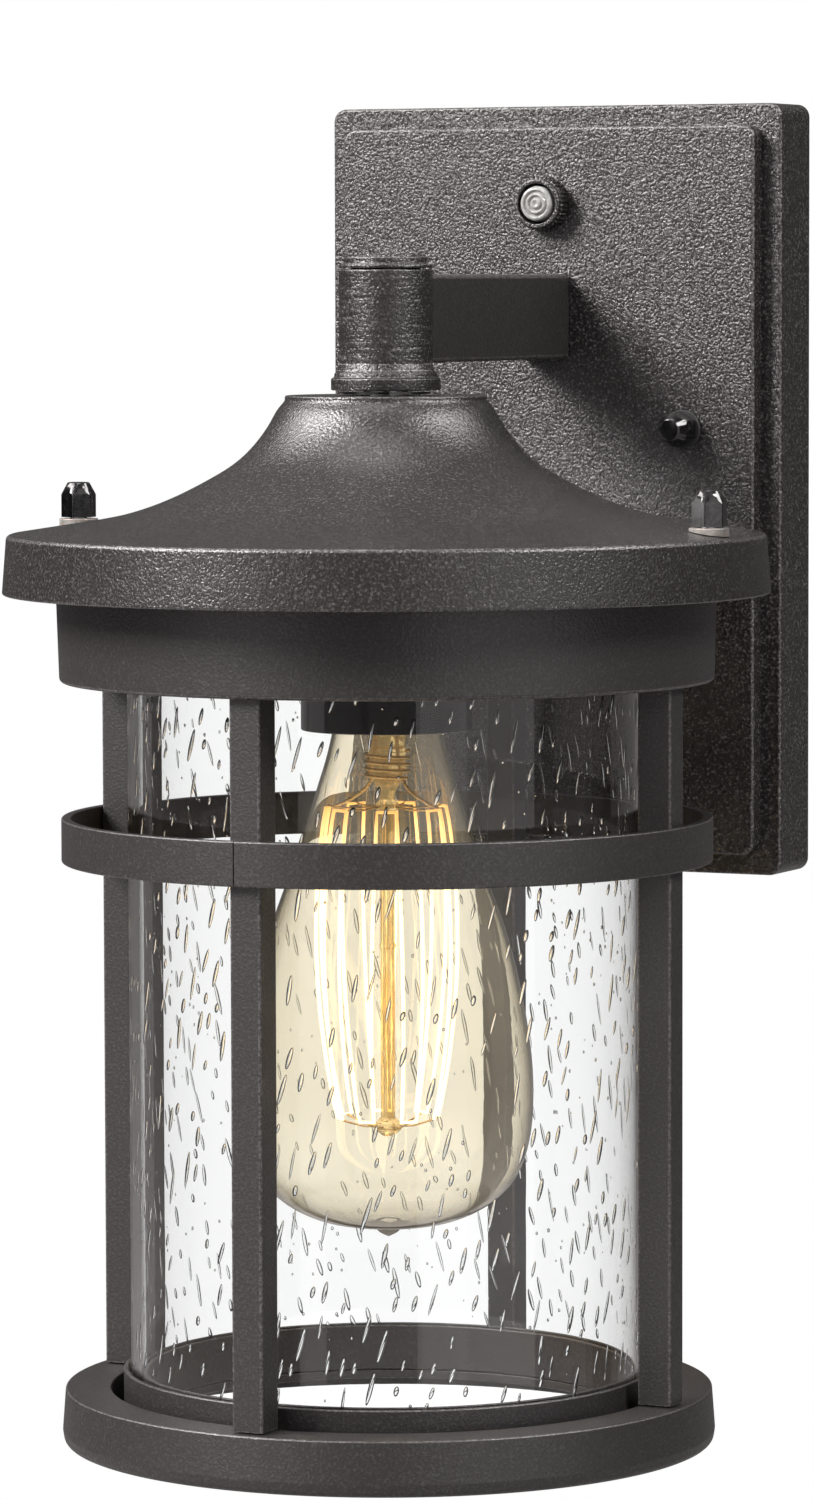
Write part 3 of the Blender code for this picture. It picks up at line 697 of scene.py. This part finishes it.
# ------------------------------------------------------------------ arm, hub, roof
def build_top():
    low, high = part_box("arm")
    size = (high - low) / MM
    centre = (low + high) / 2 / MM
    bm = soft_box((size.x, size.y, size.z), centre, 1.0, 0.0, 'Y', 5)
    arm = place_mesh(bm, "arm_tube", FIXED, "arm")
    cutters = [cylinder(10.65, 20, 60, AXIS, 'Z', 160),
               cylinder(CABLE_HOLE, 15, 120, (0, 0, centre.z), 'Y', 32)]
    for which in ("upper", "lower"):
        screw = middle("arm_screw_" + which) / MM
        cutters.append(cylinder(SCREW_HOLE, 12, 33, (0, 0, screw.z), 'Y', 32))
    cut_away(arm, cutters)
    hub = turned("hub_body", "hub", FIXED, [
        (10.35, 51.0, 0.35), (10.35, 30.2, 1.2), (10.75, 28.8, 0.6), (11.35, 28.1, 0.2),
        (11.5, 27.35, 0.2), (12.15, 26.9, 0.35), (12.15, 24.4, 0.35), (5.4, 24.4), (5.4, 27.4),
        (8.0, 27.4), (8.0, 51.0, 0.3)], 160, finish=TURNED_COAT)
    cut_away(hub, [cylinder(CABLE_HOLE, -AXIS_Y - 14, -AXIS_Y - 4, (0, 0, centre.z), 'Y', 32)])
    turned("hub_lid", "hub_cap", "hub_cap", [
        (0, 53.8), (9.26, 53.8, 0.4), (9.26, 52.3, 0.15), (10.35, 52.1, 0.35), (10.35, 51.3, 0.25),
        (7.7, 51.3), (7.7, 49.6, 0.3), (0, 49.6)], 160, closed=False, finish=TURNED_COAT)
    bell = curve_through([(22.36, 22.3), (22.75, 21.7), (24.2, 19.9), (26.2, 16.4), (28.6, 13.1),
                          (31.4, 10.1), (34.4, 7.7), (37.8, 5.6), (42.4, 3.1), (47.4, 0.7),
                          (52.6, -1.35), (58.4, -3.1), (64.4, -4.3)], 4)
    under = curve_through([(60.0, -5.3), (48.0, -1.6), (37.0, 3.8), (29.0, 9.9), (22.6, 18.6)], 5)
    roof = turned("roof_bell", "roof", FIXED, [
        (5.4, 23.3), (22.36, 23.3, 0.45)] + bell + [
        (83.98, -7.3, 1.15), (85.0, -20.3, 0.45), (83.1, -20.3, 0.45), (82.2, -9.1)] + under + [
        (20.8, 21.5), (5.4, 21.5)], 240, finish=ROOF_COAT)
    cut_away(roof, [cylinder(2.3, -16, 4, (sign * ROOF_STUD_X, AXIS_Y, PLATE_Z), 'Z', 40)
                    for sign in (-1, 1)])


# ------------------------------------------------------------------ cage
def build_cage():
    ring = turned("skirt_ring", "cage_top_ring", CAGE, [
        (81.8, -9.5, 0.3), (81.8, -11.3, 0.3), (73.4, -11.3), (72.46, -39.7, 1.2),
        (70.4, -39.7, 0.4), (71.2, -11.3), (60.0, -11.3, 0.3), (60.0, -9.5, 0.3)], 240)
    cut_away(ring, [cylinder(STUD_HOLE, -16, -6, (sign * ROOF_STUD_X, AXIS_Y, PLATE_Z), 'Z', 40)
                    for sign in (-1, 1)])
    seam = atan2(-71.2, -1.4)
    gap = 0.13 / 71.2
    turned("hoop", "mid_band", CAGE, [
        (72.24, -69.8, 0.4), (72.24, -79.55, 0.4), (70.1, -79.55, 0.3), (70.1, -69.8, 0.3)],
        240, arc=(seam + gap, 2 * pi - 2 * gap))
    base = turned("base_channel", "base_ring", CAGE, [
        (72.05, -197.0, 0.5), (72.75, -206.3, 2.0), (72.3, -209.2, 1.6), (68.9, -209.2, 0.4),
        (68.9, -199.2), (63.7, -199.2), (63.7, -205.2, 0.3), (54.2, -205.2, 0.3),
        (54.2, -203.2, 0.3), (61.9, -203.2), (61.9, -197.0, 0.45)], 240)
    screws = []
    for side in ("front", "right", "back", "left"):
        place = middle("bar_screw_" + side) / MM
        screws.append(cylinder(SCREW_HOLE, -202, -194, (place.x, place.y, PLATE_Z), 'Z', 32))
    cut_away(base, screws)
    turned("glass_cup", "glass_seat_ring", CAGE, [
        (59.1, -192.7, 0.4), (59.1, -202.9, 0.3), (53.8, -202.9, 0.3), (53.8, -192.7, 0.35),
        (54.7, -192.7, 0.25), (54.7, -199.5), (58.1, -199.5), (58.1, -192.7, 0.25)], 220)
    for side, turn in (("front", -pi / 2), ("right", 0), ("back", pi / 2), ("left", pi)):
        node = "cage_bar_" + side
        place = middle(node) / MM
        low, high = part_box(node)
        length = (high.z - low.z) / MM
        bm = soft_box((7.8, 7.25, length), place, 0.55, 0.25, 'Z', 5, turn)
        bar = place_mesh(bm, "bar_" + side, CAGE, node)
        screw = middle("bar_screw_" + side) / MM
        cut_away(bar, [cylinder(SCREW_HOLE, -199, -187, (screw.x, screw.y, PLATE_Z), 'Z', 32)])


# ------------------------------------------------------------------ glass with its seeds
def build_glass():
    low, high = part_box("glass_cylinder")
    top, foot = high.z / MM - PLATE_Z, low.z / MM - PLATE_Z
    outer, inner = 57.65, 55.15
    bm = lathe_mesh(rounded([(outer, top, 0.8), (outer, foot, 0.5), (inner, foot, 0.5),
                             (inner, top, 0.8)], True, 5), 288)
    centre_r = (outer + inner) / 2
    maker = random.Random(41)
    rings, around = 7, 10
    ball = []
    for i in range(1, rings):
        lat = pi * i / rings
        ball.append([(sin(lat) * cos(2 * pi * k / around), sin(lat) * sin(2 * pi * k / around),
                      cos(lat)) for k in range(around)])

    def seed(angle, z, half_length, half_width, half_depth, lean, r):
        """One bubble: long along the wall, leaning, with its walls facing inward."""
        out = Vector((cos(angle), sin(angle), 0))
        side = Vector((-sin(angle), cos(angle), 0))
        up = Vector((0, 0, 1)) * cos(lean) + side * sin(lean)
        across = side * cos(lean) - Vector((0, 0, 1)) * sin(lean)
        centre = Vector((AXIS[0], AXIS[1], AXIS[2] + z)) + out * r

        def put(p):
            bow = half_length ** 2 * p[2] ** 2 / (2 * centre_r) * sin(lean) ** 2
            at = centre + across * p[0] * half_width + out * (p[1] * half_depth - bow) \
                + up * p[2] * half_length
            return bm.verts.new(at * MM)

        tip, tail = put((0, 0, 1)), put((0, 0, -1))
        rows = [[put(p) for p in ring] for ring in ball]
        faces = []
        for k in range(around):
            n = (k + 1) % around
            faces.append((tip, rows[0][k], rows[0][n]))
            faces.append((rows[-1][k], tail, rows[-1][n]))
            for a, b in zip(rows, rows[1:]):
                faces.append((a[k], b[k], b[n], a[n]))
        for corners in faces:
            face = bm.faces.new(corners)
            face.material_index = 1
            made.append(face)

    made = []
    taken = []
    while len(taken) < 1080:
        length = 1.1 + 3.2 * maker.random() ** 1.5
        width = 0.30 + 0.30 * maker.random()
        z = foot + 5 + (top - foot - 10) * maker.random()
        angle = 2 * pi * maker.random()
        lean = radians(14 + 12 * (maker.random() - 0.5))
        r = centre_r + 0.5 * (maker.random() - 0.5)
        crowded = any(abs(z - other[1]) < length + other[2] + 0.3
                      and abs(sin((angle - other[0]) / 2)) * 2 * centre_r < 2.2 for other in taken)
        if not crowded:
            taken.append((angle, z, length))
            seed(angle, z, length, width, width, lean, r)
    for _ in range(700):
        size = 0.14 + 0.22 * maker.random()
        z = foot + 5 + (top - foot - 10) * maker.random()
        angle = 2 * pi * maker.random()
        if any(abs(z - other[1]) < size + other[2] + 0.2
               and abs(sin((angle - other[0]) / 2)) * 2 * centre_r < 1.6 for other in taken):
            continue
        seed(angle, z, size * 1.3, size, size, 0.0, centre_r + 1.2 * (maker.random() - 0.5))
    bm.normal_update()
    # A bubble's wall faces into the bubble, so that the glass lies outside it
    bmesh.ops.recalc_face_normals(bm, faces=made)
    bmesh.ops.reverse_faces(bm, faces=made)
    piece = place_mesh(bm, "seeded_cylinder", "glass", "glass_cylinder", sharp=60)
    piece.data.materials.append(seed_wall())


# ------------------------------------------------------------------ lampholder and bulb
def build_lamp():
    turned("lamp_cup", "socket_cup", FIXED, [
        (17.0, -6.3, 0.5), (18.9, -7.0, 0.9), (19.1, -9.5, 0.4), (19.1, -50.6, 0.35),
        (17.8, -50.6, 0.3), (17.8, -8.9, 0.6), (16.9, -7.9, 0.4), (5.4, -7.9), (5.4, -6.3)], 160)
    turned("lampholder", "socket_body", FIXED, [
        (16.6, -11.8, 0.6), (17.3, -12.8, 0.5), (17.3, -49.0, 0.7), (14.4, -49.0, 0.5),
        (14.4, -21.0), (2.6, -21.0), (2.6, -11.8)], 128)
    pitch = 3.6

    def thread(depth):
        def flex(r, z, angle):
            if -46.5 < z < -30.5 and r > 11:
                fade = min(1.0, (z + 46.5) / 1.5, (-30.5 - z) / 1.5)
                return r + depth * fade * cos(2 * pi * z / pitch + angle), z
            return r, z
        return flex

    rows = 64
    wall = [(12.6, -31.0 - 18.2 * k / rows) for k in range(rows + 1)]
    inside = [(r - 0.4, z) for r, z in reversed(wall)]
    shell = [(9.4, -28.3), (11.9, -29.5)] + wall + inside + [(11.6, -30.0), (9.4, -28.8)]
    bm = lathe_mesh(shell, 96, AXIS, True, 'Z', None, thread(0.3))
    place_mesh(bm, "bulb_thread", BULB, "bulb_screw_shell", sharp=50)
    outline = curve_through([
        (12.0, -45.0), (12.0, -50.0), (13.4, -56.5), (15.7, -64.0), (18.6, -73.0), (22.3, -84.0),
        (26.0, -94.5), (28.9, -105.0), (31.0, -116.0), (32.2, -126.0), (32.3, -134.5),
        (31.6, -141.5), (29.8, -147.8), (26.6, -152.8), (21.8, -156.8), (15.4, -159.7),
        (8.5, -161.1), (3.6, -161.7), (1.9, -162.9), (0.0, -163.85)], 5)
    inner = [(max(r - 0.7, 0.0), z) for r, z in outline if z > -140]
    lower = curve_through([(31.6, -134.5), (30.9, -141.3), (29.2, -147.4), (26.1, -152.2),
                           (21.5, -156.1), (15.2, -159.0), (8.3, -160.4), (0.0, -160.9)], 5)
    inner = [p for p in inner if p[1] > -134] + lower
    bm = lathe_mesh(outline + inner[::-1], 128)
    place_mesh(bm, "bulb_envelope", BULB, "bulb_glass", sharp=60)
    turned("bulb_stem_glass", "bulb_stem", BULB, [
        (0, -46.0), (8.4, -46.0, 0.5), (6.6, -48.4, 2), (4.3, -51.5, 2), (3.9, -54.0, 1),
        (4.4, -55.5, 0.6), (3.8, -57.0, 0.6), (4.2, -59.0, 0.6), (3.6, -61.5, 1), (2.0, -64.0, 1),
        (1.5, -66.2, 0.6), (2.5, -67.0, 0.4), (2.5, -68.4, 0.4), (1.6, -69.2, 0.3),
        (1.6, -98.0, 0.3), (1.9, -98.8, 0.3), (1.6, -99.6, 0.3), (1.6, -137.0, 0.3),
        (2.9, -138.6, 0.5), (3.1, -140.2, 0.6), (1.2, -141.3, 0.4), (0, -141.4)], 48,
           closed=False)


def skin(bm, rings):
    """Joins rings of vertices into a tube with closed ends."""
    sides = len(rings[0])
    for a, b in zip(rings, rings[1:]):
        for k in range(sides):
            bm.faces.new((a[k], a[(k + 1) % sides], b[(k + 1) % sides], b[k]))
    bm.faces.new(rings[0][::-1])
    bm.faces.new(rings[-1])


def tube(points, radius, sides=8, bm=None):
    """A round wire through points, as closed mesh."""
    bm = bm or bmesh.new()
    rings = []
    for i, p in enumerate(points):
        ahead = Vector(points[min(i + 1, len(points) - 1)]) - Vector(points[max(i - 1, 0)])
        ahead.normalize()
        side = ahead.orthogonal().normalized() if abs(ahead.z) < 0.2 else \
            ahead.cross(Vector((0, 1, 0))).normalized()
        other = ahead.cross(side).normalized()
        ring = []
        for k in range(sides):
            t = 2 * pi * k / sides
            at = Vector(p) + (side * cos(t) + other * sin(t)) * radius
            ring.append(bm.verts.new([(c + a) * MM for c, a in zip(at, AXIS)]))
        rings.append(ring)
    skin(bm, rings)
    return bm


def wind_press(bm, radius=4.85, top=-55.3, pitch=1.5, wire=0.42, sides=8, turns=4, per_turn=48):
    """The wire wound round the press, in the neck of the bulb."""
    rings = []
    for i in range(turns * per_turn + 1):
        angle = 2 * pi * i / per_turn
        ring = []
        for k in range(sides):
            t = 2 * pi * k / sides
            r, z = radius + wire * cos(t), top - pitch * i / per_turn + wire * sin(t)
            ring.append(bm.verts.new([(c + a) * MM for c, a in
                                      zip((r * cos(angle), r * sin(angle), z), AXIS)]))
        rings.append(ring)
    skin(bm, rings)


def build_filament():
    strands = 14
    first_turn = radians(24)
    high_r, high_z, low_r, low_z = 13.6, -68.0, 11.2, -137.0
    route = []
    hooks = bmesh.new()
    for k in range(strands):
        angle = first_turn + 2 * pi * (k + 0.5) / (strands + 0.6)
        rising = k % 2 == 0
        ends = ((low_r, low_z), (high_r, high_z)) if rising else ((high_r, high_z), (low_r, low_z))
        for step in range(25):
            t = step / 24
            r = ends[0][0] + (ends[1][0] - ends[0][0]) * t + 3.4 * sin(pi * t) ** 0.8
            z = ends[0][1] + (ends[1][1] - ends[0][1]) * t
            shift = (0.06 if rising else -0.06) * (1 - 2 * abs((z - high_z) / (low_z - high_z)))
            route.append((r * cos(angle + shift), r * sin(angle + shift), z))
    bm = tube(route, 0.42, 8)
    bmesh.ops.recalc_face_normals(bm, faces=bm.faces)
    place_mesh(bm, "filament_wire", BULB, "bulb_filament", sharp=60)
    for z0, r1, z1, ahead in ((-67.7, 13.4, -67.6, 1), (-139.4, 11.0, -137.2, 0)):
        for k in range(0, strands, 2):
            turn = first_turn + 2 * pi * (k + ahead) / (strands + 0.6)
            spoke = [(r * cos(turn), r * sin(turn), z) for r, z in (
                (2.3, z0), (r1 * 0.5, z0 + (z1 - z0) * 0.35 - 0.6), (r1 * 0.9, z1 - 0.5), (r1, z1))]
            tube(spoke, 0.24, 6, hooks)
    wind_press(hooks)
    bmesh.ops.recalc_face_normals(hooks, faces=hooks.faces)
    for side, sign in (("left", -1), ("right", 1)):
        lead = tube(curve3([(sign * 1.8, 0, -50.0), (sign * 2.2, 0, -58.0), (sign * 5.0, 0, -63.5),
                            (sign * 9.4, 0, -66.6), (sign * 13.2, 0, -68.2)]), 0.4, 10)
        bmesh.ops.recalc_face_normals(lead, faces=lead.faces)
        place_mesh(lead, "lead_wire_" + side, BULB, "bulb_lead_" + side, sharp=60)
    mesh = bpy.data.meshes.new("filament_hooks")
    hooks.to_mesh(mesh)
    hooks.free()
    mesh.shade_smooth()
    mesh.materials.append(FINISH["brass"])
    piece = bpy.data.objects.new("filament_hooks", mesh)
    scene.collection.objects.link(piece)
    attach(piece, BULB)


def curve3(points, per=5):
    made = []
    for i in range(len(points) - 1):
        a, b = Vector(points[max(i - 1, 0)]), Vector(points[i])
        c, d = Vector(points[i + 1]), Vector(points[min(i + 2, len(points) - 1)])
        for k in range(per):
            t = k / per
            made.append(0.5 * (2 * b + (c - a) * t + (2 * a - 5 * b + 4 * c - d) * t * t
                               + (3 * b - a - 3 * c + d) * t ** 3))
    return made + [Vector(points[-1])]


# ------------------------------------------------------------------ CAD nodes that stay
def dress_cad_nodes():
    for name, obj in frame["nodes"].items():
        obj.data.materials.clear()
        obj.data.materials.append(FINISH[SLOT_OF[name]])


# ------------------------------------------------------------------ studio
def area_light(name, place, aim, size, power, colour):
    """A rectangular lamp that shows in reflections, but not to the camera or through glass."""
    data = bpy.data.lights.new(name, 'AREA')
    data.shape = 'RECTANGLE'
    data.size, data.size_y = size
    data.energy = power
    data.color = colour
    lamp = bpy.data.objects.new(name, data)
    lamp.location = place
    lamp.rotation_mode = 'QUATERNION'
    lamp.rotation_quaternion = (Vector(aim) - Vector(place)).to_track_quat('-Z', 'Y')
    lamp.visible_transmission = False
    lamp.visible_camera = False
    scene.collection.objects.link(lamp)
    return lamp


def build_world():
    world = bpy.data.worlds.new("studio")
    scene.world = world
    world.use_nodes = True
    tree = world.node_tree
    nodes, links = tree.nodes, tree.links
    room = nodes["Background"]
    seen = nodes.new("ShaderNodeBackground")
    seen.inputs["Color"].default_value = (1, 1, 1, 1)
    seen.inputs["Strength"].default_value = 1.0
    place = nodes.new("ShaderNodeTexCoord")

    def lobe(direction, start, end, colour):
        """A soft patch of light in one direction."""
        dot = nodes.new("ShaderNodeVectorMath")
        dot.operation = 'DOT_PRODUCT'
        dot.inputs[1].default_value = Vector(direction).normalized()
        links.new(place.outputs["Generated"], dot.inputs[0])
        ramp = nodes.new("ShaderNodeValToRGB")
        ramp.color_ramp.interpolation = 'EASE'
        ramp.color_ramp.elements[0].position = start
        ramp.color_ramp.elements[0].color = (0, 0, 0, 1)
        ramp.color_ramp.elements[1].position = end
        ramp.color_ramp.elements[1].color = (*colour, 1)
        links.new(dot.outputs["Value"], ramp.inputs["Fac"])
        return ramp.outputs["Color"]

    def add(first, second):
        made = nodes.new("ShaderNodeVectorMath")
        made.operation = 'ADD'
        links.new(first, made.inputs[0])
        if isinstance(second, tuple):
            made.inputs[1].default_value = second
        else:
            links.new(second, made.inputs[1])
        return made.outputs["Vector"]

    light = add(lobe((0, 0, 1), 0.0, 0.9, (0.30, 0.288, 0.288)), (0.072, 0.069, 0.069))
    light = add(light, lobe((-1.0, -1.1, 1.1), 0.76, 0.95, (0.5, 0.48, 0.478)))
    links.new(light, room.inputs["Color"])
    room.inputs["Strength"].default_value = 1.0
    path = nodes.new("ShaderNodeLightPath")
    unbent = nodes.new("ShaderNodeMath")
    unbent.operation = 'LESS_THAN'
    unbent.inputs[1].default_value = 0.5
    links.new(path.outputs["Glossy Depth"], unbent.inputs[0])
    through = nodes.new("ShaderNodeMath")
    through.operation = 'MULTIPLY'
    links.new(path.outputs["Is Transmission Ray"], through.inputs[0])
    links.new(unbent.outputs["Value"], through.inputs[1])
    either = nodes.new("ShaderNodeMath")
    either.operation = 'MAXIMUM'
    links.new(path.outputs["Is Camera Ray"], either.inputs[0])
    links.new(through.outputs["Value"], either.inputs[1])
    # Seen through the glass, the backdrop is lit up to make good what the walls reflect away
    lift = nodes.new("ShaderNodeMath")
    lift.operation = 'MULTIPLY_ADD'
    lift.inputs[1].default_value, lift.inputs[2].default_value = 0.10, 1.0
    links.new(path.outputs["Is Transmission Ray"], lift.inputs[0])
    links.new(lift.outputs["Value"], seen.inputs["Strength"])
    mixed = nodes.new("ShaderNodeMixShader")
    links.new(either.outputs["Value"], mixed.inputs["Fac"])
    links.new(room.outputs["Background"], mixed.inputs[1])
    links.new(seen.outputs["Background"], mixed.inputs[2])
    links.new(mixed.outputs["Shader"], nodes["World Output"].inputs["Surface"])


def build_lights():
    warm = (1.0, 0.97, 0.964)
    area_light("key", (-0.95, -1.25, 1.0), (0, -0.08, -0.02), (0.6, 0.7), 68, warm)
    area_light("fill", (1.3, -1.2, -0.1), (0, -0.08, -0.08), (0.6, 0.9), 0.6, warm)
    area_light("right", (1.35, -0.45, 1.05), (0, -0.1, -0.02), (0.5, 0.5), 23, warm)
    # Panels seen only as reflections: azimuth, height, half width, half height and brightness
    reach = 1.3
    for name, turn, lift, wide, tall, bright in (
            ("left", -112, 0, 21, 33, 0.66), ("right", -25, 0, 27, 33, 0.86),
            ("high_left", -162, 38, 18, 12, 11.5), ("high_right", 16, 38, 14, 12, 13.0)):
        turn, lift = radians(turn), radians(lift)
        aim = Vector((0, AXIS_Y * MM, -0.05))
        place = aim + Vector((cos(turn) * cos(lift), sin(turn) * cos(lift), sin(lift))) * reach
        size = (2 * reach * tan(radians(wide)), 2 * reach * tan(radians(tall)))
        panel = area_light("sheen_" + name, place, aim, size, bright * pi * size[0] * size[1], warm)
        panel.visible_diffuse = False
    area_light("top", (-0.1, -0.30, 1.5), (0, -0.1, 0), (0.8, 0.8), 9, warm)
    glow = bpy.data.lights.new("bulb_glow", 'POINT')
    glow.energy = 0.07
    glow.color = (1.0, 0.74, 0.48)
    glow.shadow_soft_size = 0.014
    lamp = bpy.data.objects.new("bulb_glow", glow)
    lamp.location = (0, AXIS_Y * MM, (PLATE_Z - 112) * MM)
    lamp.visible_transmission = False
    lamp.visible_glossy = False
    scene.collection.objects.link(lamp)


def build_floor():
    mesh = bpy.data.meshes.new("floor")
    half = 8.0
    height = -0.55
    mesh.from_pydata([(-half, -half, height), (half, -half, height), (half, half, height),
                      (-half, half, height)], [], [(0, 1, 2, 3)])
    floor = bpy.data.objects.new("floor", mesh)
    scene.collection.objects.link(floor)
    t = Tree("pale_floor")
    t.colour(t.ramp(t.noise(3.0), (0.3, (0.28, 0.27, 0.27)), (0.7, (0.31, 0.30, 0.30))))
    t.set(Roughness=0.8)
    path = t.node("LightPath")
    direct = t.sum(path.outputs["Glossy Depth"], 0.5, 'LESS_THAN')
    through = t.sum(path.outputs["Is Transmission Ray"], direct, 'MULTIPLY')
    either = t.sum(path.outputs["Is Camera Ray"], through, 'MAXIMUM')
    bright = t.node("Emission")
    t.link(t.sum(t.sum(path.outputs["Is Transmission Ray"], 0.1, 'MULTIPLY'), 1.0),
           bright.inputs["Strength"])
    mixed = t.node("MixShader")
    t.link(either, mixed.inputs["Fac"])
    t.link(t.shader.outputs["BSDF"], mixed.inputs[1])
    t.link(bright.outputs["Emission"], mixed.inputs[2])
    # From underneath the floor is clear, so that the lantern can be looked at from below
    clear = t.node("BsdfTransparent")
    sided = t.node("MixShader")
    t.link(t.node("NewGeometry").outputs["Backfacing"], sided.inputs["Fac"])
    t.link(mixed.outputs["Shader"], sided.inputs[1])
    t.link(clear.outputs["BSDF"], sided.inputs[2])
    t.link(sided.outputs["Shader"], t.output.inputs["Surface"])
    mesh.materials.append(t.material)


def set_rendering():
    scene.view_settings.view_transform = 'Standard'
    scene.cycles.caustics_reflective = False
    scene.cycles.caustics_refractive = False
    scene.cycles.max_bounces = 24
    scene.cycles.transmission_bounces = 24
    scene.cycles.transparent_max_bounces = 24


add_camera()
dress_cad_nodes()
build_backplate()
build_nuts()
build_photocell()
build_top()
build_cage()
build_glass()
build_lamp()
build_filament()
build_world()
build_lights()
build_floor()
set_rendering()
